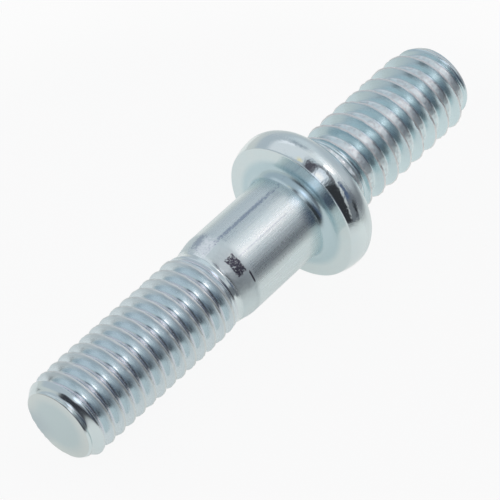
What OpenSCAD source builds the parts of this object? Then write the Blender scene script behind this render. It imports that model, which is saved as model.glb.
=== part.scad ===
// Double-ended collar stud, formed and rolled from one piece of steel.
// The stud is drawn upright along Z, machine thread down, and then laid on its side.

/* [Machine thread end] */
// Diameter over the crests of the machine thread
machine_d = 7.9; // [7.6:0.05:8]
// Pitch of the machine thread
machine_pitch = 1.25; // [1:0.05:1.5]
// Length from the end face to the neck behind the machine thread
machine_len = 18.4; // [12:0.2:30]
// Diameter of the flat end face
machine_face_d = 6.5; // [5.5:0.1:7]
// Length of the chamfer on the machine end
machine_chamfer = 1; // [0.5:0.1:1.2]
// Angle round the axis where the machine groove crosses the end face
machine_start = 123; // [-180:1:180]

/* [Neck and shank] */
// Diameter of the neck, where the machine thread has run out
neck_d = 7.3; // [7:0.1:7.6]
// Length of the cone from the neck up to the shank
cone_len = 1.8; // [1:0.1:4]
// Length along cone and shank over which the edge between them is rounded
cone_blend = 0.5; // [0.2:0.1:0.8]
// Diameter of the plain shank
shank_d = 8; // [7.8:0.1:9]
// Length of the plain shank, from the cone to the face of the collar
shank_len = 9.35; // [6:0.05:20]
// Radius of the hollow between the shank and the collar
shank_fillet = 0.95; // [0.4:0.05:1.2]

/* [Collar] */
// Largest diameter of the collar
collar_d = 13.9; // [13:0.1:18]
// Thickness of the collar
collar_t = 3.5; // [3:0.1:5]
// How far the bulged rim stands out past the edge of the front face
collar_bulge = 0.3; // [0.1:0.05:0.6]
// Rounding of the edge round the front face
collar_edge = 0.15; // [0.1:0.05:0.4]
// Rounding of the rim at the back
collar_round = 1.8; // [0.8:0.1:1.9]
// Radius of the hollow between the back of the collar and the coarse thread
back_fillet = 0.2; // [0.1:0.05:0.3]

/* [Coarse thread end] */
// Length from the back of the collar to the tip
coarse_len = 17; // [12:0.5:30]
// Diameter over the first crests, beside the collar
coarse_first_d = 7.9; // [7.6:0.05:8]
// Diameter over the crests along the rest of the coarse thread
coarse_d = 8.2; // [8:0.05:8.5]
// Length over which the crests grow to that diameter
coarse_growth = 6; // [3:0.5:10]
// Diameter of the core between the turns
coarse_root_d = 6.5; // [6:0.1:6.8]
// Pitch of the coarse thread
coarse_pitch = 1.8; // [1.7:0.05:2.2]
// Width of the blunt crest
coarse_crest = 0.1; // [0.08:0.01:0.2]
// Diameter of the flat tip
tip_d = 6.9; // [6.2:0.1:7.2]
// Length of the chamfer at the tip
tip_chamfer = 1.45; // [0.8:0.05:2]
// Angle round the axis where the coarse groove would meet the collar
coarse_start = -76; // [-180:1:180]

/* [Hidden] */
$fn = 96;
flank_angle = 30;                    // each flank against a plane across the axis
steps_per_turn = 36;                 // facets of a groove in one turn
over = 0.06;                         // how far a groove's cutter stands out of the crests
machine_depth = 0.6134 * machine_pitch;
machine_crest = machine_pitch / 8;
machine_root_r = machine_d / 2 - machine_depth;
machine_fade = machine_pitch;        // length along the axis in which crests and groove die away
machine_last = machine_len - 0.2 * machine_pitch;    // height where the groove has gone
coarse_fade = coarse_pitch;          // length along the axis in which the coarse groove opens
coarse_first = 0.05;                 // how far open it is where it starts, as a share of its depth
coarse_gap = 0.4 * coarse_pitch;     // from the collar to the middle of the groove where it starts

neck_z = machine_len;
shank_z = neck_z + cone_len;
collar_z = shank_z + shank_len;
back_z = collar_z + collar_t;
end_z = back_z + coarse_len;

machine_r = machine_d / 2;
neck_r = neck_d / 2;
shank_r = shank_d / 2;
collar_r = collar_d / 2;
first_r = coarse_first_d / 2;
coarse_r = coarse_d / 2;

// The rim bulges in an arc from the edge of the front face to the rounding at the back
rim_len = collar_t - collar_round - collar_edge;
rim_arc_r = (rim_len * rim_len + collar_bulge * collar_bulge) / (2 * collar_bulge);
rim_arc_x = collar_r - rim_arc_r;
rim_z = back_z - collar_round;

// The stud lies on the bulge of its collar and on the first crest of the machine thread
rest_span = norm([rim_z - machine_chamfer, rim_arc_x - machine_r]);
rest_tilt = atan((rim_arc_x - machine_r) / (rim_z - machine_chamfer)) + asin(rim_arc_r / rest_span);
rest_low = rim_z * sin(rest_tilt) - rim_arc_x * cos(rest_tilt) - rim_arc_r;
rest_left = -machine_face_d / 2 * sin(rest_tilt);
rest_right = end_z * cos(rest_tilt) + tip_d / 2 * sin(rest_tilt);

// The edge between cone and shank is an arc that touches both
cone_angle = atan((shank_r - neck_r) / cone_len);
cone_arc_r = cone_blend / tan(cone_angle / 2);
cone_arc_z = shank_z + cone_blend;

// Radius over the machine crests at height z
function machine_crest_r(z) =
    machine_r - (machine_r - neck_r) * min(1, max(0, 1 - (machine_len - z) / machine_fade));

// Radius over the coarse crests at height z
function coarse_crest_r(z) =
    first_r + (coarse_r - first_r) * min(1, max(0, (z - back_z) / coarse_growth));

// One ring of a groove's cutter round height z and angle a. Its floor is flat, its flanks
// run out to the radius low_r on the lower side and high_r on the upper side.
function groove_ring(z, a, low_r, high_r, floor_r, floor_w) =
    let (low = -floor_w / 2 - (low_r - floor_r) * tan(flank_angle),
         high = floor_w / 2 + (high_r - floor_r) * tan(flank_angle))
    [for (p = [[low_r, low], [floor_r, -floor_w / 2], [floor_r, floor_w / 2], [high_r, high]])
        [p[0] * cos(a), p[0] * sin(a), z + p[1]]];

// A solid through a list of rings of four points
module ring_solid(rings) {
    last = len(rings) - 1;
    points = [for (ring = rings) each ring];
    sides = [for (i = [0:last - 1], k = [0:3])
        let (a = 4 * i + k, b = 4 * i + (k + 1) % 4)
        each [[a, b + 4, b], [a, a + 4, b + 4]]];
    polyhedron(points, concat([[0, 1, 2, 3]], sides, [[for (k = [0:3]) 4 * last + 3 - k]]));
}

// The machine thread's groove: it starts outside the end face and fades out before the neck
module machine_groove() {
    z0 = -machine_pitch;
    steps = ceil((machine_last - z0) / machine_pitch * steps_per_turn);
    outer_r = machine_r + over;
    floor_w = machine_pitch - machine_crest - 2 * machine_depth * tan(flank_angle);
    rings = [for (i = [0:steps])
        let (turn = i / steps_per_turn, z = z0 + turn * machine_pitch,
            left = min(1, max(0, (machine_last - z) / machine_fade)),
            top_r = machine_crest_r(z) + over / 2,
            floor_r = top_r - (top_r - machine_root_r) * left)
        groove_ring(z, machine_start + 360 * (turn - 1), outer_r, outer_r, floor_r, floor_w)];
    ring_solid(rings);
}

// The coarse thread's groove: it opens beside the collar within one turn, its upper flank
// in place from the start, and runs out of the tip
module coarse_groove() {
    z0 = back_z + coarse_gap;
    z1 = end_z + coarse_pitch;
    steps = ceil((z1 - z0) / coarse_pitch * steps_per_turn);
    rings = [for (i = [0:steps])
        let (z = z0 + i / steps_per_turn * coarse_pitch,
            a = coarse_start + 360 * (z - back_z) / coarse_pitch,
            open = min(1, coarse_first + (z - z0) / coarse_fade),
            full = coarse_crest_r(z) - coarse_root_d / 2,
            full_w = coarse_pitch - coarse_crest - 2 * full * tan(flank_angle),
            floor_r = coarse_root_d / 2 + (full + over / 2) * (1 - open),
            floor_w = full_w * open,
            shift = (1 - open) * (full_w / 2 + full * tan(flank_angle)))
        groove_ring(z + shift, a, coarse_crest_r(z - coarse_pitch / 2) + over,
            coarse_crest_r(z + coarse_pitch / 2) + over, floor_r, floor_w)];
    ring_solid(rings);
}

// Half section of the turned blank, with the axis at x = 0
module blank_section() {
    hollow = shank_r + shank_fillet;
    back_hollow = first_r + back_fillet;
    difference() {
        union() {
            polygon([
                [0, 0],
                [machine_face_d / 2, 0],
                [machine_r, machine_chamfer],
                [machine_r, machine_len - machine_fade],
                [neck_r, neck_z],
                [shank_r - cone_blend * sin(cone_angle), shank_z - cone_blend * cos(cone_angle)],
                [shank_r, cone_arc_z],
                [shank_r, collar_z],
                [first_r, collar_z],
                [first_r, back_z],
                [coarse_r, back_z + coarse_growth],
                [coarse_r, end_z - tip_chamfer],
                [tip_d / 2, end_z],
                [0, end_z]
            ]);
            intersection() {
                translate([shank_r - cone_arc_r, cone_arc_z])
                    circle(r = cone_arc_r, $fn = 4 * $fn);
                translate([0, cone_arc_z - cone_arc_r * sin(cone_angle)])
                    square([shank_r, cone_arc_r * sin(cone_angle)]);
            }
            collar_section();
            translate([0, collar_z - shank_fillet])
                square([hollow, shank_fillet + collar_t / 2]);
            translate([0, collar_z + collar_t / 2])
                square([back_hollow, collar_t / 2 + back_fillet]);
        }
        translate([hollow, collar_z - shank_fillet])
            circle(r = shank_fillet);
        translate([back_hollow, back_z + back_fillet])
            circle(r = back_fillet);
    }
}

// Half section of the collar: flat front, bulged rim, well rounded back
module collar_section() {
    front_r = collar_r - collar_bulge;
    polygon([
        [0, collar_z],
        [front_r - collar_edge, collar_z],
        [front_r, collar_z + collar_edge],
        [collar_r, rim_z],
        [collar_r - collar_round, back_z],
        [0, back_z]
    ]);
    translate([front_r - collar_edge, collar_z + collar_edge])
        circle(r = collar_edge);
    intersection() {
        translate([rim_arc_x, rim_z])
            circle(r = rim_arc_r);
        translate([0, rim_z - rim_len])
            square([collar_r, rim_len]);
    }
    translate([collar_r - collar_round, rim_z])
        intersection() {
            circle(r = collar_round);
            square(collar_round);
        }
}

module stud() {
    color([0.74, 0.79, 0.80])
        translate([-(rest_left + rest_right) / 2, 0, -rest_low])
            rotate([0, 90 - rest_tilt, 0])
                difference() {
                    rotate_extrude()
                        blank_section();
                    machine_groove();
                    coarse_groove();
                }
}

stud();
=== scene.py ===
import math

import bmesh
import bpy
from mathutils import Matrix, Vector, noise


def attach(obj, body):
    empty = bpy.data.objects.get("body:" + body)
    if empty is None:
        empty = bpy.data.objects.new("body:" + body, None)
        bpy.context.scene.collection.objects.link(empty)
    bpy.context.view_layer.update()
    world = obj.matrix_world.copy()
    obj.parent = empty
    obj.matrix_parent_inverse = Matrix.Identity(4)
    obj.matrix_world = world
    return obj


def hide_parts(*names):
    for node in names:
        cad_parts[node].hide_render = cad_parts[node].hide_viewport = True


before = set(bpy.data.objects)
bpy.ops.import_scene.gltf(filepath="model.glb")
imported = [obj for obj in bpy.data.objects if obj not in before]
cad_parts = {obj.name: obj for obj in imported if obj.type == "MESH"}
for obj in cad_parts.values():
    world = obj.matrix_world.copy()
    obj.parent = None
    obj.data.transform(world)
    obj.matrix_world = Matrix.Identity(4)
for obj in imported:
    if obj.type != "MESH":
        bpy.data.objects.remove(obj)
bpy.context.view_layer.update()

# The stud's sizes in millimetres, upright along Z from the machine end's face
stud = {
    "columns": 120,              # faces round the axis
    "machineRadius": 3.95,
    "machineRoot": 3.95 - 0.6134 * 1.25,         # the usual depth of a metric thread
    "machinePitch": 1.25,
    "machineCrest": 1.25 / 8,    # width of the crest
    "machineLength": 18.4,
    "machineStart": 123,         # degrees round the axis where the groove crosses the end face
    "machineLast": 18.15,        # height where the groove has gone
    "faceRadius": 3.25,
    "faceChamfer": 1.0,
    "neckRadius": 3.65,
    "shankStart": 20.2,
    "shankRadius": 4.0,
    "collarFront": 29.55,
    "shankFillet": 0.95,
    "collarRadius": 6.95,
    "collarBulge": 0.3,
    "collarEdge": 0.15,
    "collarRound": 1.8,
    "collarBack": 33.05,
    "backFillet": 0.2,
    "firstRadius": 3.95,
    "coarseRadius": 4.1,
    "coarseGrowth": 6.0,
    "coarseRoot": 3.25,
    "coarsePitch": 1.8,
    "coarseCrest": 0.1,          # width of the crest
    "coarseStart": -76,          # degrees round the axis where the groove would meet the collar
    "coarseGap": 0.72,           # from the collar to the middle of the groove where it starts
    "tipRadius": 3.45,
    "tipChamfer": 1.45,
    "end": 50.05,
    "middleStart": 18.7,         # the turned middle lies between these two heights
    "middleEnd": 33.41,
    "endRounding": 0.1,          # the ends' faces lie this far past the rows of the threads
    "spare": 0.03,               # how far a groove has risen over the crests when it is gone
}
flankSlope = 1 / math.tan(math.radians(30))      # radius gained per millimetre along a flank

# How far each corner between two surfaces is rounded, as a difference in radius
rounding = {
    "cone": 0.05, "shank": 0.09, "end": 0.07,
    "machineRoot": 0.2, "machineCrest": 0.035,
    "coarseRoot": 0.14, "coarseCrest": 0.03,
}

# Waves over the surface: their length and height
waves = {
    "machineCrest": (0.9, 0.08), "machineCrestFine": (0.4, 0.06),
    "coarseCrest": (0.9, 0.05), "coarseCrestFine": (0.45, 0.14),
    "coarseShift": (1.6, 0.015), "coarseFloor": (0.5, 0.02),
    "cone": (1.1, 0.03), "coneFine": (0.45, 0.012),
    "shank": (0.5, 0.006),
    "rim": (1.5, 0.018), "rimFine": (0.6, 0.008),
}
waveRadius = 4                   # where the waves of the threads are read

# Where the wear fades in or out: a height, or for rimInside a radius, and a length
fades = {
    "machineStart": (0.9, 0.8), "machineEnd": (18.2, 0.8),
    "coneStart": (18.7, 0.5), "coneEnd": (21, 0.8),
    "shankStart": (20.2, 0.6), "shankEnd": (28.6, 0.3),
    "rimInside": (5.6, 0.6), "rimStart": (29.6, 0.2),
}

# Distances under which corners are merged, a cut is level, and two parts meet
tolerances = {"weld": 0.002, "cut": 0.0001, "level": 0.0002, "ring": 0.0003, "seam": 0.003}

# Nicks in the edge of the machine end: angle round the axis, half width in degrees, depth
nicks = [(28, 4, 0.10), (39, 3, 0.14), (47, 3, 0.10), (58, 5, 0.12), (75, 6, 0.06), (-8, 6, 0.05)]
nickLength = 0.6


def rimArc():
    # Height of the rim's widest place, length of its bulge along the axis, radius of its arc
    height = stud["collarBack"] - stud["collarRound"]
    length = height - stud["collarFront"] - stud["collarEdge"]
    bulge = stud["collarBulge"]
    return height, length, (length ** 2 + bulge ** 2) / (2 * bulge)


def placeInScene():
    # The matrix that lays the upright stud on the bulge of its collar and on its first crest
    rimHeight, _, arcRadius = rimArc()
    arcX = stud["collarRadius"] - arcRadius
    run = rimHeight - stud["faceChamfer"]
    rise = arcX - stud["machineRadius"]
    tilt = math.atan(rise / run) + math.asin(arcRadius / math.hypot(run, rise))
    low = rimHeight * math.sin(tilt) - arcX * math.cos(tilt) - arcRadius
    left = -stud["faceRadius"] * math.sin(tilt)
    right = stud["end"] * math.cos(tilt) + stud["tipRadius"] * math.sin(tilt)
    move = Matrix.Translation(Vector((-(left + right) / 2, 0, -low)) / 1000)
    return tilt, move @ Matrix.Rotation(math.pi / 2 - tilt, 4, "Y") @ Matrix.Scale(0.001, 4)


tilt, toScene = placeInScene()


def unit(value):
    return min(1, max(0, value))


def fadeIn(value, name):
    start, length = fades[name]
    return unit((value - start) / length)


def fadeOut(value, name):
    start, length = fades[name]
    return unit((start - value) / length)


def smaller(a, b, width):
    # The smaller of two radii, with the corner between them rounded
    share = unit(0.5 + 0.5 * (b - a) / width)
    return b + (a - b) * share - width * share * (1 - share)


def larger(a, b, width):
    return -smaller(-a, -b, width)


def grooveRadius(away, floorRadius, floorWidth, corner, lift=0):
    # Radius inside a groove at a distance along the axis from its middle
    flank = floorRadius + (away - floorWidth / 2) * flankSlope
    return larger(floorRadius + lift, flank, corner)


def bodyRadius(z):
    # The plain body under the machine thread, the neck, the cone and the shank
    fade = unit(1 - (stud["machineLength"] - z) / stud["machinePitch"])
    crest = stud["machineRadius"] - (stud["machineRadius"] - stud["neckRadius"]) * fade
    coneLength = stud["shankStart"] - stud["machineLength"]
    slope = (stud["shankRadius"] - stud["neckRadius"]) / coneLength
    cone = stud["neckRadius"] + (z - stud["machineLength"]) * slope
    body = crest
    if z > stud["machineLength"] - 1:
        body = larger(crest, cone, rounding["cone"])
    if z > stud["shankStart"] - 1:
        body = smaller(body, stud["shankRadius"], rounding["shank"])
    return body


def ripple(z, angle, wave, radius=waveRadius, stretch=1.0):
    # A wandering height over the surface; stretch draws its waves out along the axis
    length, height = waves[wave]
    turn = math.radians(angle)
    around = Vector((math.cos(turn) * radius, math.sin(turn) * radius, z / stretch))
    return noise.noise(around / length) * height


def machineSurface(z, angle):
    # Radius of the machine thread with its end, at a height and an angle in degrees
    crest = bodyRadius(z)
    worn = ripple(z, angle, "machineCrest") + ripple(z, angle + 40, "machineCrestFine")
    crest += min(0, worn - 0.01) * fadeIn(z, "machineStart") * fadeOut(z, "machineEnd")
    pitch = stud["machinePitch"]
    floorWidth = pitch - stud["machineCrest"]
    floorWidth -= 2 * (stud["machineRadius"] - stud["machineRoot"]) / flankSlope
    radius = crest
    place = (angle - stud["machineStart"]) / 360
    nearest = round(z / pitch - place)
    for turn in (nearest - 1, nearest, nearest + 1):
        middle = pitch * (place + turn)
        left = unit((stud["machineLast"] - middle) / pitch)
        if left <= 0:
            continue
        top = bodyRadius(middle) + stud["spare"]
        floorRadius = top - (top - stud["machineRoot"]) * left
        groove = grooveRadius(abs(z - middle), floorRadius, floorWidth, rounding["machineRoot"])
        radius = smaller(radius, groove, rounding["machineCrest"])
    slope = (stud["machineRadius"] - stud["faceRadius"]) / stud["faceChamfer"]
    cone = stud["faceRadius"] + z * slope
    if z < nickLength:
        for at, width, depth in nicks:
            cone -= depth * (1 - z / nickLength) * math.exp(-((angle - at) / width) ** 2)
    return smaller(radius, cone, rounding["end"])


def coarseCrestRadius(z):
    grown = unit((z - stud["collarBack"]) / stud["coarseGrowth"])
    return stud["firstRadius"] + (stud["coarseRadius"] - stud["firstRadius"]) * grown


def coarseSurface(z, angle):
    # The same for the coarse thread, whose groove opens within one turn
    radius = coarseCrestRadius(z) + ripple(z, angle, "coarseCrest")
    radius += min(0, ripple(z, angle + 70, "coarseCrestFine"))
    pitch = stud["coarsePitch"]
    first = stud["collarBack"] + stud["coarseGap"]
    place = (angle - stud["coarseStart"]) / 360
    nearest = round((z - stud["collarBack"]) / pitch - place)
    for turn in (nearest - 1, nearest, nearest + 1):
        middle = stud["collarBack"] + pitch * (place + turn)
        if middle < first:
            continue
        opened = min(1, 0.05 + (middle - first) / pitch)
        depth = coarseCrestRadius(middle) - stud["coarseRoot"]
        fullWidth = pitch - stud["coarseCrest"] - 2 * depth / flankSlope
        floorRadius = stud["coarseRoot"] + (depth + stud["spare"]) * (1 - opened)
        shift = (1 - opened) * (fullWidth / 2 + depth / flankSlope)
        away = abs(z - middle - shift + ripple(z, angle, "coarseShift"))
        groove = grooveRadius(away, floorRadius, fullWidth * opened, rounding["coarseRoot"],
                              ripple(z, angle, "coarseFloor"))
        radius = smaller(radius, groove, rounding["coarseCrest"])
    slope = (stud["coarseRadius"] - stud["tipRadius"]) / stud["tipChamfer"]
    cone = stud["tipRadius"] + (stud["end"] - z) * slope
    return smaller(radius, cone, rounding["end"])


def turnsOf(pitch, rows, crestAngle, bottom, top, surface):
    # A tube whose rows of faces follow the helix, cut level at both ends. Rows are heights
    # over one pitch from a crest, and surface gives the radius at a height and an angle
    bm = bmesh.new()
    columns = stud["columns"]
    base = pitch * (0.5 - crestAngle / 360)
    base += pitch * math.floor((bottom - pitch - base) / pitch)
    turns = math.ceil((top - base) / pitch) + 1
    line = [bm.verts.new((waveRadius, 0, base + row)) for row in rows + [pitch]]
    edges = [bm.edges.new(pair) for pair in zip(line, line[1:])]
    bmesh.ops.spin(bm, geom=line + edges, cent=(0, 0, 0), axis=(0, 0, 1),
                   dvec=(0, 0, pitch / columns), angle=math.tau, steps=columns,
                   use_merge=False, use_duplicate=False)
    oneTurn = bm.verts[:] + bm.edges[:] + bm.faces[:]
    for turn in range(1, turns):
        made = bmesh.ops.duplicate(bm, geom=oneTurn)["geom"]
        copies = [v for v in made if isinstance(v, bmesh.types.BMVert)]
        bmesh.ops.translate(bm, vec=(0, 0, pitch * turn), verts=copies)
    bmesh.ops.remove_doubles(bm, verts=bm.verts, dist=tolerances["weld"])
    for height, above in ((bottom, False), (top, True)):
        bmesh.ops.bisect_plane(bm, geom=bm.verts[:] + bm.edges[:] + bm.faces[:],
                               dist=tolerances["cut"], plane_co=(0, 0, height),
                               plane_no=(0, 0, 1), clear_outer=above, clear_inner=not above)
        # Corners of the cut that lie between two columns of faces go
        extra = []
        for v in bm.verts:
            if abs(v.co.z - height) < tolerances["level"]:
                column = math.atan2(v.co.y, v.co.x) / math.tau * columns
                if abs(column - round(column)) > 0.01:
                    extra.append(v)
        bmesh.ops.dissolve_verts(bm, verts=extra)
    for v in bm.verts:
        radius = surface(v.co.z, math.degrees(math.atan2(v.co.y, v.co.x)))
        flat = Vector((v.co.x, v.co.y)).normalized() * radius
        v.co.x, v.co.y = flat
    return bm


def ringAt(bm, height):
    return [e for e in bm.edges if e.is_boundary
            and all(abs(v.co.z - height) < tolerances["ring"] for v in e.verts)]


def closeEnd(bm, height, outward, steps):
    # Rounds the edge of an end and closes its face: each step is an inset and a move outwards
    edges = ringAt(bm, height)
    for inset, rise in steps:
        made = bmesh.ops.extrude_edge_only(bm, edges=edges)["geom"]
        edges = [e for e in made if isinstance(e, bmesh.types.BMEdge)]
        edges = [e for e in edges if e.is_boundary]
        for v in {v for e in edges for v in e.verts}:
            flat = Vector((v.co.x, v.co.y))
            flat *= max(0.02, 1 - inset / flat.length)
            v.co = (flat.x, flat.y, height + outward * rise)
    bmesh.ops.contextual_create(bm, geom=edges)


def arcPoints(centreRadius, centreHeight, radius, start, end, count):
    # Points of an arc in the half section, as (radius, height)
    points = []
    for step in range(count + 1):
        turn = math.radians(start + (end - start) * step / count)
        points.append((centreRadius + radius * math.cos(turn),
                       centreHeight + radius * math.sin(turn)))
    return points


def turnedBody(bottom, top):
    # The lathe-turned middle: cone, shank, hollow, collar and plain band behind it
    front, back = stud["collarFront"], stud["collarBack"]
    fillet, edge = stud["shankFillet"], stud["collarEdge"]
    rimHeight, rimLength, arcRadius = rimArc()
    frontRadius = stud["collarRadius"] - stud["collarBulge"]
    roundMiddle = stud["collarRadius"] - stud["collarRound"]
    hollow = stud["shankRadius"] + fillet
    rimTurn = math.degrees(math.asin(rimLength / arcRadius))
    points = [(bodyRadius(z), z) for z in
              [bottom + (21.2 - bottom) * step / 28 for step in range(29)]]
    points += [(stud["shankRadius"], z) for z in (22, 23, 24, 25, 26, 27, 28, 28.4, 28.54)]
    points += arcPoints(hollow, front - fillet, fillet, 180, 90, 12)
    points += [(hollow + step, front) for step in (0.06, 0.4, 0.8, 1.2)]
    points += [(frontRadius - edge - 0.05, front)]
    points += arcPoints(frontRadius - edge, front + edge, edge, -90, -rimTurn, 5)
    points += arcPoints(stud["collarRadius"] - arcRadius, rimHeight, arcRadius,
                        -rimTurn, 0, 10)[1:]
    points += arcPoints(roundMiddle, rimHeight, stud["collarRound"], 0, 90, 20)[1:]
    points += [(roundMiddle - 0.06, back)]
    backHollow = stud["firstRadius"] + stud["backFillet"]
    points += [(backHollow + 0.4, back), (backHollow + 0.05, back)]
    points += arcPoints(backHollow, back + stud["backFillet"], stud["backFillet"], 270, 180, 5)
    points += [(stud["firstRadius"] + 0.002, back + 0.24), (coarseSurface(top, 0), top)]
    bm = bmesh.new()
    line = [bm.verts.new((r, 0, z)) for r, z in points]
    edges = [bm.edges.new(pair) for pair in zip(line, line[1:])]
    bmesh.ops.spin(bm, geom=line + edges, cent=(0, 0, 0), axis=(0, 0, 1), dvec=(0, 0, 0),
                   angle=math.tau, steps=stud["columns"], use_merge=True, use_duplicate=False)
    for v in bm.verts:
        wear(v, bottom, top)
    return bm


def wear(v, bottom, top):
    # The small unevenness that forming and handling leave on the turned middle
    z, angle = v.co.z, math.degrees(math.atan2(v.co.y, v.co.x))
    radius = math.hypot(v.co.x, v.co.y)
    if z < bottom + 0.1 or z > top - 0.1:
        return
    onCone = fadeIn(z, "coneStart") * fadeOut(z, "coneEnd")
    onShank = fadeIn(z, "shankStart") * fadeOut(z, "shankEnd")
    onRim = fadeIn(radius, "rimInside") * fadeIn(z, "rimStart")
    lift = onCone * (ripple(z, angle, "cone", radius) + ripple(z, angle, "coneFine", radius))
    lift += onShank * ripple(z, angle, "shank", radius, 14)
    lift += onRim * (ripple(z, angle, "rim", radius) + ripple(z, angle, "rimFine", radius))
    v.co.x *= 1 + lift / radius
    v.co.y *= 1 + lift / radius


def joined(parts):
    # One bmesh from several
    mesh = bpy.data.meshes.new("studForm")
    whole = bmesh.new()
    for part in parts:
        part.to_mesh(mesh)
        part.free()
        whole.from_mesh(mesh)
    bpy.data.meshes.remove(mesh)
    return whole


def mirrored(half, pitch):
    # Rows of one pitch, from those between the middle of a crest and the middle of a root
    return half + [pitch - row for row in reversed(half[1:-1])]


def makeStud():
    machineRows = mirrored([0, 0.04, 0.075, 0.11, 0.16, 0.24, 0.33, 0.42, 0.47, 0.51, 0.545,
                            0.585, 0.625], stud["machinePitch"])
    coarseRows = mirrored([0, 0.03, 0.055, 0.085, 0.14, 0.24, 0.34, 0.44, 0.5, 0.54, 0.58, 0.64,
                           0.72, 0.81, 0.9], stud["coarsePitch"])
    low, high = stud["middleStart"], stud["middleEnd"]
    edge = stud["endRounding"]
    endEdge = [(0.015, 0.05), (0.05, 0.085), (0.1, edge), (0.14, edge)]
    machine = turnsOf(stud["machinePitch"], machineRows, stud["machineStart"], edge, low,
                      machineSurface)
    closeEnd(machine, edge, -1, endEdge + [(inset, edge) for inset in (0.6, 1.2, 1.8, 2.4, 2.8)])
    print("machine thread made,", len(machine.faces), "faces")
    coarseAngle = stud["coarseStart"] - stud["collarBack"] / stud["coarsePitch"] * 360
    coarse = turnsOf(stud["coarsePitch"], coarseRows, coarseAngle, high, stud["end"] - edge,
                     coarseSurface)
    closeEnd(coarse, stud["end"] - edge, 1, endEdge + [(inset, edge) for inset in (0.8, 1.6, 2.4)])
    print("coarse thread made,", len(coarse.faces), "faces")
    bm = joined([machine, turnedBody(low, high), coarse])
    bmesh.ops.remove_doubles(bm, verts=bm.verts, dist=tolerances["seam"])
    bmesh.ops.recalc_face_normals(bm, faces=bm.faces)
    openEdges = [e for e in bm.edges if not e.is_manifold]
    bmesh.ops.transform(bm, matrix=toScene, verts=bm.verts)
    bmesh.ops.triangulate(bm, faces=[f for f in bm.faces if len(f.verts) > 4])
    mesh = bpy.data.meshes.new("studBody")
    bm.to_mesh(mesh)
    bm.free()
    mesh.shade_smooth()
    piece = bpy.data.objects.new("studBody", mesh)
    bpy.context.collection.objects.link(piece)
    triangles = sum(len(p.vertices) - 2 for p in mesh.polygons)
    print("stud made,", triangles, "triangles,", len(openEdges), "open edges")
    return piece


class Socket:
    # One output of a node; arithmetic on it adds Math nodes, also with a number on its left

    def __init__(self, graph, link):
        self.graph, self.link = graph, link

    def math(self, operation, *others):
        values = {i: v for i, v in enumerate((self,) + others)}
        return self.graph.node("ShaderNodeMath", {"operation": operation}, values)

    def __add__(self, other):
        return self.math("ADD", other)

    def __sub__(self, other):
        return self.math("SUBTRACT", other)

    def __rsub__(self, other):
        return (self * -1) + other

    def __mul__(self, other):
        return self.math("MULTIPLY", other)

    def __truediv__(self, other):
        return self.math("DIVIDE", other)

    def __rtruediv__(self, other):
        return self.graph.node("ShaderNodeMath", {"operation": "DIVIDE"}, {0: other, 1: self})

    __radd__ = __add__
    __rmul__ = __mul__


class Graph:
    # The node tree of a material or a world

    def __init__(self, owner):
        owner.use_nodes = True
        self.tree = owner.node_tree
        self.tree.nodes.clear()

    def node(self, kind, settings=None, values=None, output=0):
        made = self.tree.nodes.new(kind)
        for name, value in (settings or {}).items():
            setattr(made, name, value)
        for name, value in (values or {}).items():
            if isinstance(value, Socket):
                self.tree.links.new(value.link, made.inputs[name])
            else:
                made.inputs[name].default_value = value
        self.last = made
        return Socket(self, made.outputs[output]) if made.outputs else None

    def output(self, made, name):
        return Socket(self, made.outputs[name])

    def mix(self, factor, first, second):
        # Two colours by a factor; 6 and 7 are a Mix node's colour sockets, 2 its colour output
        return self.node("ShaderNodeMix", {"data_type": "RGBA"},
                         {0: factor, 6: first, 7: second}, 2)

    def ramp(self, value, low, high, toLow=0.0, toHigh=1.0):
        # A smooth step of a value between two limits
        return self.node("ShaderNodeMapRange", {"interpolation_type": "SMOOTHSTEP"},
                         {0: value, 1: low, 2: high, 3: toLow, 4: toHigh})

    def noise(self, place, scale, detail=3.0, roughness=0.5):
        return self.node("ShaderNodeTexNoise", {},
                         {"Vector": place, "Scale": scale, "Detail": detail,
                          "Roughness": roughness})


# Base colours of the plating, by place
zinc = {
    "plain": (0.70, 0.79, 0.80, 1),
    "cloud": (0.66, 0.78, 0.80, 1),
    "machineGroove": (0.69, 0.785, 0.82, 1),
    "machineCrest": (0.72, 0.775, 0.77, 1),
    # machineRoot is darker than the groove: painted shade in the roots of the machine thread
    "machineRoot": (0.67, 0.715, 0.77, 1),
    "endFace": (0.55, 0.655, 0.67, 1),
    "endEdge": (0.655, 0.72, 0.71, 1),
    "endPatchTone": (0.50, 0.59, 0.62, 1),
    "soot": (0.10, 0.10, 0.13, 1),
    # a painted highlight: a pale patch on top of the cone
    "paintedHighlight": (0.86, 0.92, 0.95, 1),
    "scratch": (0.34, 0.41, 0.50, 1),
    "coarseFloor": (0.76, 0.85, 0.87, 1),
    "coarseFlank": (0.61, 0.745, 0.78, 1),
    "coarseCrest": (0.80, 0.81, 0.81, 1),
    "mottle": (0.55, 0.56, 0.58, 1),
    # fillet is darker and bluer: painted shade in the hollow between shank and collar
    "fillet": (0.54, 0.68, 0.72, 1),
}

# Heights along the stud between which a zone comes in, and those between which it ends
zones = {
    "machine": ((0.9, 1.4), (18.3, 17.6)),
    "cone": ((18.5, 18.9), (20.9, 20.2)),
    "shank": ((20.0, 20.5), (28.9, 28.6)),
    "coarse": ((33.6, 34.2), (50.01, 49.95)),
}

# Limits between which a noise, a radius, a height or a place in a groove comes in
limits = {
    "cloud": (0.35, 0.7), "mottle": (0.48, 0.62),
    "rim": (6.3, 6.6), "rimBack": (30.7, 31.5),
    "filletHeight": (28.5, 28.9), "filletRadius": (5.7, 4.9),
    "endFace": (0.06, 0.02), "endEdge": (1.8, 3.1),
    "machineCrest": (0.38, 0.45), "machineFlank": (0.15, 0.45), "machineRoot": (0.12, 0.04),
    "coarseFloor": (0.25, 0.17), "coarseCrest": (0.43, 0.47),
}

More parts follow.
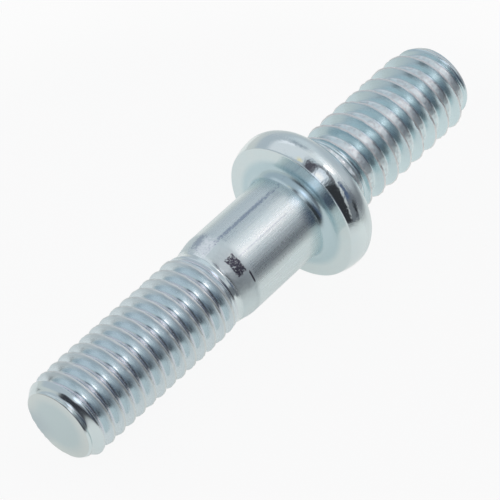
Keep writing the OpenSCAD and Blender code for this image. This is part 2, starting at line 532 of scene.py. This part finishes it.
# Scale, detail and roughness of each noise
noises = {
    "fine": (6.0, 4.0, 0.6), "speckle": (2.6, 3.0, 0.6), "cloud": (0.6, 2.0, 0.5),
    "grain": (5.0, 1.0, 0.5), "uneven": (4.0, 1.0, 0.5), "streaks": (5.0, 4.0, 0.6),
}
streakStretch = 0.06             # the scale of the streaks along the axis
cloudStrength, mottleStrength = 0.4, 0.45

# What the zones and the noises add to the roughness, and to the height that feeds the bump
gloss = {
    "base": 0.12, "fine": 0.06, "shank": 0.06, "shankStreaks": 0.14,
    "machineCrest": 0.24, "machineRoot": 0.12,
    "coarseFloor": 0.03, "coarseSpeckle": 0.16, "coarseCrest": 0.25,
    "cone": 0.32, "fillet": 0.08, "rimFront": -0.06, "rimBack": 0.24,
}
relief = {
    "fine": 0.12, "shankStreaks": 0.6, "coarseSpeckle": 2.0, "coarseFine": 1.2,
    "rim": 0.5, "cone": 1.2, "machineCrest": 1.2,
}

# Marks on the cone and the shank: middle as height and angle round the axis, half height and
# half angle, how ragged and how soft the edge is, the noise limits that break it up, strength
marks = [
    # A pale patch on top of the cone: a painted highlight
    {"middle": (19.6, 174), "half": (0.9, 15), "ragged": 2.5, "soft": 0.3,
     "broken": (0.3, 0.55), "strength": 1, "colour": "paintedHighlight"},
    {"middle": (19.9, 154), "half": (0.75, 6), "ragged": 2.5, "soft": 0.4,
     "strength": 0.7, "colour": "scratch"},
    {"middle": (24.0, 177.0), "half": (3.4, 2.5), "ragged": 2.2, "soft": 0.5,
     "strength": 0.85, "colour": "scratch"},
    {"middle": (23.9, -149), "half": (3.0, 0.9), "ragged": 1.5, "soft": 0.5,
     "strength": 0.4, "colour": "scratch"},
    {"middle": (19.82, -144), "half": (0.48, 13), "ragged": 0.5, "soft": 0.12,
     "broken": (0.32, 0.50), "strength": 1, "colour": "soot"},
    {"middle": (20.46, -120), "half": (0.08, 8), "ragged": 0.5, "soft": 0.12,
     "strength": 1, "colour": "soot"},
]
# A darker patch on the end face, its edge made uneven by noise
endPatch = {"x": 1.6, "y": 2.7, "uneven": 1.2, "radius": (3.2, 1.0)}      # on the end face


def zincMaterial():
    material = bpy.data.materials.new("zinc")
    g = Graph(material)
    toStud = toScene.inverted()
    turn = toStud.to_quaternion().to_euler()
    g.node("ShaderNodeTexCoord")
    place = g.output(g.last, "Object")
    own = g.node("ShaderNodeMapping", {},
                 {"Vector": place, "Location": toStud.to_translation(), "Rotation": turn,
                  "Scale": (1000, 1000, 1000)})
    g.node("ShaderNodeSeparateXYZ", {}, {0: own})
    x, y, z = (g.output(g.last, name) for name in "XYZ")
    radius = (x * x + y * y).math("SQRT")
    around = y.math("ARCTAN2", x) / math.tau

    def zone(name):
        starts, ends = zones[name]
        return g.ramp(z, *starts) * g.ramp(z, *ends)

    def fromFloor(pitch, start, bottom):
        # 0 in the middle of the groove, 0.5 on the crest
        phase = ((z - bottom) / pitch - around + start / 360).math("FRACT")
        return 0.5 - (phase - 0.5).math("ABSOLUTE")

    def between(value, name):
        return g.ramp(value, *limits[name])

    fine, speckle, cloud, grain, uneven = (
        g.noise(own, *noises[name]) for name in ("fine", "speckle", "cloud", "grain", "uneven"))
    streakPlace = g.node("ShaderNodeMapping", {},
                         {"Vector": own, "Scale": (1, 1, streakStretch)})
    streaks = g.noise(streakPlace, *noises["streaks"])

    onMachine, onShank, onCone, onCoarse = map(zone, ("machine", "shank", "cone", "coarse"))
    onFillet = between(z, "filletHeight") * between(radius, "filletRadius")
    onRim = between(radius, "rim")
    machine = fromFloor(stud["machinePitch"], stud["machineStart"], 0)
    coarse = fromFloor(stud["coarsePitch"], stud["coarseStart"], stud["collarBack"])
    machineCrest = between(machine, "machineCrest")
    machineRoot = between(machine, "machineRoot")
    coarseFloor = between(coarse, "coarseFloor")
    coarseCrest = between(coarse, "coarseCrest")

    # The plain surfaces and the end face
    colour = g.mix(between(cloud, "cloud") * cloudStrength, zinc["plain"], zinc["cloud"])
    # The hollow between shank and collar gets a darker colour: painted shade
    colour = g.mix(onFillet, colour, zinc["fillet"])
    endFace = g.mix(between(radius, "endEdge"), zinc["endFace"], zinc["endEdge"])
    sideways, along = x - endPatch["x"], y - endPatch["y"]
    away = (sideways * sideways + along * along).math("SQRT") + cloud * endPatch["uneven"]
    endFace = g.mix(g.ramp(away, *endPatch["radius"]), endFace, zinc["endPatchTone"])
    colour = g.mix(between(z, "endFace"), colour, endFace)

    # The marks, the first of them a painted highlight
    for mark in marks:
        ragged = (grain - 0.5) * mark["ragged"]
        (middle, at), (halfHeight, halfAngle) = mark["middle"], mark["half"]
        high = (z - middle).math("ABSOLUTE") / halfHeight + ragged
        wide = (around * 360 - at).math("ABSOLUTE") / halfAngle + ragged
        edge = 1 + mark["soft"], 1 - mark["soft"]
        share = g.ramp(high, *edge) * g.ramp(wide, *edge)
        if "broken" in mark:
            share = share * g.ramp(fine, *mark["broken"])
        colour = g.mix(share * mark["strength"], colour, zinc[mark["colour"]])

    # The threads
    onThread = g.mix(machineCrest, zinc["machineGroove"], zinc["machineCrest"])
    # The roots of the machine thread get a darker colour: painted shade
    onThread = g.mix(machineRoot, onThread, zinc["machineRoot"])
    colour = g.mix(onMachine, colour, onThread)
    onThread = g.mix(coarseFloor, zinc["coarseFlank"], zinc["coarseFloor"])
    onThread = g.mix(coarseCrest, onThread, zinc["coarseCrest"])
    colour = g.mix(onCoarse, colour, onThread)
    mottled = onCoarse * coarseFloor * between(speckle, "mottle") * mottleStrength
    colour = g.mix(mottled, colour, zinc["mottle"])

    rough = gloss["base"] + fine * gloss["fine"]
    rough = rough + onShank * (gloss["shank"] + streaks * gloss["shankStreaks"])
    rough = rough + onMachine * (between(machine, "machineFlank") * gloss["machineCrest"]
                                 + machineRoot * gloss["machineRoot"])
    rough = rough + onCoarse * (coarseFloor * (gloss["coarseFloor"]
                                               + speckle * gloss["coarseSpeckle"])
                                + coarseCrest * gloss["coarseCrest"])
    rough = rough + onCone * gloss["cone"] + onFillet * gloss["fillet"]
    rough = rough + onRim * (between(z, "rimBack") * gloss["rimBack"] + gloss["rimFront"])

    height = fine * relief["fine"] + onShank * (streaks * relief["shankStreaks"])
    coarseHeight = speckle * relief["coarseSpeckle"] + fine * relief["coarseFine"]
    height = height + onCoarse * coarseFloor * coarseHeight
    height = height + (onRim * relief["rim"] + onCone * relief["cone"]) * uneven
    height = height + onMachine * machineCrest * fine * relief["machineCrest"]
    bump = g.node("ShaderNodeBump", {}, {"Strength": 0.8, "Distance": 0.00002, "Height": height})
    shader = g.node("ShaderNodeBsdfPrincipled", {},
                    {"Base Color": colour, "Metallic": 1.0, "Roughness": rough, "Normal": bump})
    g.node("ShaderNodeOutputMaterial", {}, {"Surface": shader})
    return material


# The pale floor. Sizes and distances from the middle are in metres. A share is that of an
# even colour over the lit floor, so the floor keeps some of the stud's shadow
floorDisc = {
    "radius": 0.052,
    "lit": (0.95, 0.95, 0.95, 1),
    "white": (0.97, 0.97, 0.97, 1),       # the even colour as the camera sees it
    "seen": 0.95,                # its share
    "fade": (0.034, 0.048),      # where the floor runs into the white backdrop
    "mirrored": (1.0, 0.99, 0.96, 1),     # the even colour in the metal's reflections
    "reflected": 0.58,           # its share
    "near": (0.016, 0.052),      # where it turns into the shade of the room in front
    "nearShade": (0.24, 0.24, 0.25, 1),
    "left": (0.030, 0.042),      # and at the left
    "leftShade": (0.03, 0.03, 0.04, 1),
    "shaded": 0.93,              # the share of these shades
    "right": (0.006, 0.016),     # where a glow sets in at the right
    "glow": 0.18,                # what it adds to the share
}


def floorMaterial():
    material = bpy.data.materials.new("floorWhite")
    g = Graph(material)
    plain = g.node("ShaderNodeBsdfDiffuse", {}, {"Color": floorDisc["lit"]})
    g.node("ShaderNodeTexCoord")
    place = g.output(g.last, "Object")
    away = g.node("ShaderNodeVectorMath", {"operation": "LENGTH"}, {0: place}, 1)
    g.node("ShaderNodeSeparateXYZ", {}, {0: place})
    right, back = g.output(g.last, "X"), g.output(g.last, "Y")
    g.node("ShaderNodeLightPath")
    seen, glossy = (g.output(g.last, name) for name in ("Is Camera Ray", "Is Glossy Ray"))
    near = g.ramp(back * -1, *floorDisc["near"])
    left = g.ramp(right * -1, *floorDisc["left"])
    faded = g.ramp(away, *floorDisc["fade"], floorDisc["seen"], 1.0)
    shade = near.math("MAXIMUM", left) * (floorDisc["shaded"] - floorDisc["reflected"])
    glow = g.ramp(right, *floorDisc["right"]) * floorDisc["glow"]
    share = seen * faded + glossy * (floorDisc["reflected"] + shade + glow)
    colour = g.mix(near, floorDisc["mirrored"], floorDisc["nearShade"])
    colour = g.mix(left, colour, floorDisc["leftShade"])
    colour = g.mix(seen, colour, floorDisc["white"])
    even = g.node("ShaderNodeEmission", {}, {"Color": colour, "Strength": 1.0})
    both = g.node("ShaderNodeMixShader", {}, {0: share, 1: plain, 2: even})
    g.node("ShaderNodeOutputMaterial", {}, {"Surface": both})
    return material


# The studio round the stud, from the walls inwards: lamps, panels and openings are bars along
# X, and a later bar covers an earlier one. A bar lies between two values of X on the unit
# sphere and between two angles round X, in degrees, where 0 is overhead, -90 the front and 90
# the back, and soft says over how much of each its edge fades
walls = (0.54, 0.57, 0.62, 1)
studio = {
    "backLow": {"x": (-1.2, 1.2), "angle": (86, 400), "soft": (0.1, 14),
                "light": (0.70, 0.70, 0.69, 1)},
    "rightBack": {"x": (0.49, 0.80), "angle": (12, 52), "soft": (0.04, 12),
                  "light": (0.74, 0.78, 0.83, 1)},
    "backPanel": {"x": (-0.20, 0.33), "angle": (4, 62), "soft": (0.14, 14),
                  "light": (0.82, 0.82, 0.86, 1)},
    "backGlow": {"x": (0.24, 0.34), "angle": (30, 54), "soft": (0.05, 8),
                 "light": (1.00, 0.98, 1.04, 1)},
    "rightLamp": {"x": (0.20, 0.60), "angle": (-49, 11), "soft": (0.10, 16),
                  "light": (0.86, 0.85, 0.87, 1)},
    "rightCore": {"x": (0.33, 0.49), "angle": (-20, 2), "soft": (0.06, 10),
                  "light": (1.05, 1.04, 1.08, 1)},
    "flankCore": {"x": (0.26, 0.36), "angle": (-32, -16), "soft": (0.03, 6),
                  "light": (4.20, 3.35, 3.25, 1)},
    "leftLamp": {"x": (-1.2, 0.06), "angle": (-35, -14), "soft": (0.06, 12),
                 "light": (0.88, 0.88, 0.96, 1)},
    "leftCore": {"x": (-0.86, -0.60), "angle": (-36, -10), "soft": (0.08, 10),
                 "light": (1.35, 1.40, 1.62, 1)},
    "overhead": {"x": (-0.35, 0.08), "angle": (-13, 2), "soft": (0.06, 9),
                 "light": (0.10, 0.09, 0.11, 1)},
    "glint": {"x": (-0.20, -0.06), "angle": (8, 16), "soft": (0.06, 6),
              "light": (0.95, 0.80, 0.52, 1)},
    "gap": {"x": (0.08, 0.17), "angle": (-46, -9), "soft": (0.04, 10),
            "light": (0.20, 0.19, 0.21, 1)},
    "seam": {"x": (0.39, 0.48), "angle": (18, 42), "soft": (0.05, 12),
             "light": (0.20, 0.24, 0.30, 1)},
    "room": {"x": (-1.2, 1.2), "angle": (-130, -52), "soft": (0.2, 20),
             "light": (0.19, 0.195, 0.215, 1)},
    "roomLeft": {"x": (-0.78, -0.50), "angle": (-130, -56), "soft": (0.1, 14),
                 "light": (0.07, 0.09, 0.15, 1)},
    "leftTable": {"x": (-0.855, -0.765), "angle": (-80, -36), "soft": (0.04, 12),
                  "light": (0.60, 0.61, 0.66, 1)},
    "wedge": {"x": (0.18, 0.36), "angle": (-74, -44), "soft": (0.05, 8),
              "light": (0.11, 0.14, 0.22, 1)},
    "rightLow": {"x": (0.35, 0.40), "angle": (-66, -42), "soft": (0.03, 12),
                 "light": (0.60, 0.60, 0.62, 1)},
    "tableDark": {"x": (0.345, 0.43), "angle": (-98, -77), "soft": (0.03, 7),
                  "light": (0.02, 0.02, 0.025, 1)},
    "rightWall": {"x": (0.50, 1.2), "angle": (-68, -44), "soft": (0.03, 12),
                  "light": (0.66, 0.66, 0.69, 1)},
    "tableEdge": {"x": (0.44, 0.56), "angle": (-130, -88), "soft": (0.06, 12),
                  "light": (0.50, 0.50, 0.52, 1)},
    "opening": {"x": (-0.48, 0.11), "angle": (-130, -38), "soft": (0.05, 12),
                "light": (0.04, 0.04, 0.045, 1)},
    "streakHigh": {"x": (0.15, 0.19), "angle": (-58, -40), "soft": (0.03, 6),
                   "light": (0.95, 0.93, 0.94, 1)},
    "streakMiddle": {"x": (0.125, 0.165), "angle": (-74, -52), "soft": (0.03, 6),
                     "light": (0.85, 0.83, 0.84, 1)},
    "streakLow": {"x": (0.10, 0.14), "angle": (-94, -68), "soft": (0.03, 6),
                  "light": (0.75, 0.73, 0.74, 1)},
    "leftGap": {"x": (-1.2, -0.925), "angle": (34, 400), "soft": (0.04, 14),
                "light": (0.04, 0.04, 0.05, 1)},
    "leftGapLow": {"x": (-1.2, -0.88), "angle": (-400, -110), "soft": (0.05, 20),
                   "light": (0.04, 0.04, 0.05, 1)},
    "core": {"x": (-0.30, -0.08), "angle": (-31, -18), "soft": (0.08, 8),
             "light": (1.27, 1.14, 1.12, 1)},
}


def studioWorld():
    world = bpy.data.worlds.new("studio")
    bpy.context.scene.world = world
    g = Graph(world)
    g.node("ShaderNodeTexCoord")
    g.node("ShaderNodeSeparateXYZ", {}, {0: g.output(g.last, "Generated")})
    across, depth, height = (g.output(g.last, name) for name in "XYZ")
    angle = depth.math("ARCTAN2", height) * math.degrees(1)

    def inside(value, edges, soft):
        low, high = edges
        fromLow = g.ramp(value, low - soft / 2, low + soft / 2)
        return fromLow * g.ramp(value, high + soft / 2, high - soft / 2)

    light = walls
    for bar in studio.values():
        softAcross, softAngle = bar["soft"]
        share = inside(across, bar["x"], softAcross) * inside(angle, bar["angle"], softAngle)
        light = g.mix(share, light, bar["light"])
    g.node("ShaderNodeLightPath")
    light = g.mix(g.output(g.last, "Is Camera Ray"), light, floorDisc["white"])
    shader = g.node("ShaderNodeBackground", {}, {"Color": light, "Strength": 1.0})
    g.node("ShaderNodeOutputWorld", {}, {"Surface": shader})


# The view: angles in degrees, distances in millimetres
view = {
    "pixels": 500,               # the picture's width
    "sensor": 36,
    "slant": 42.39,              # the stud's axis above the picture's lower edge
    "depthAngle": 30.61,         # how far the axis turns away from the picture plane
    "focal": 2859,               # in pixels
    "distance": 240.18,          # to the axis point below
    "axisPoint": 23.855,         # from the machine end's face
    "along": -0.2151,            # that point's place along the axis in the picture
}


def makeCamera():
    slant, depthAngle = math.radians(view["slant"]), math.radians(view["depthAngle"])
    right = math.cos(depthAngle) * math.cos(slant)
    up = math.cos(depthAngle) * math.sin(slant)
    azimuth = -math.acos(right / math.cos(tilt))
    # The camera's elevation e follows from up = a sin(e) + b cos(e)
    a, b = -math.cos(tilt) * math.sin(azimuth), math.sin(tilt)
    elevation = math.asin(up / math.hypot(a, b)) - math.atan2(b, a)
    sa, ca = math.sin(azimuth), math.cos(azimuth)
    se, ce = math.sin(elevation), math.cos(elevation)
    sideways, forward = Vector((ca, sa, 0)), Vector((-sa * ce, ca * ce, -se))
    upwards = Vector((-sa * se, ca * se, ce))
    target = toScene @ Vector((0, 0, view["axisPoint"]))
    alongPicture = sideways * math.cos(slant) + upwards * math.sin(slant)
    place = target - (forward * view["distance"] + alongPicture * view["along"]) / 1000
    data = bpy.data.cameras.new("camera")
    data.sensor_width = view["sensor"]
    data.lens = view["focal"] / view["pixels"] * view["sensor"]
    data.clip_start, data.clip_end = 0.01, 10
    camera = bpy.data.objects.new("camera", data)
    axes = Matrix((sideways, upwards, -forward)).transposed()
    camera.matrix_world = Matrix.Translation(place) @ axes.to_4x4()
    bpy.context.collection.objects.link(camera)
    bpy.context.scene.camera = camera
    print("camera azimuth %.3f elevation %.3f" % (math.degrees(azimuth), math.degrees(elevation)))


def makeFloor():
    bm = bmesh.new()
    bmesh.ops.create_circle(bm, cap_ends=True, segments=96, radius=floorDisc["radius"])
    mesh = bpy.data.meshes.new("floor")
    bm.to_mesh(mesh)
    bm.free()
    floor = bpy.data.objects.new("floor", mesh)
    bpy.context.collection.objects.link(floor)
    mesh.materials.append(floorMaterial())


piece = makeStud()
piece.data.materials.append(zincMaterial())
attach(piece, "root")
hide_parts("stud")
print("plating made")
makeFloor()
studioWorld()
print("floor and studio made")
makeCamera()
bpy.context.scene.view_settings.view_transform = "Standard"
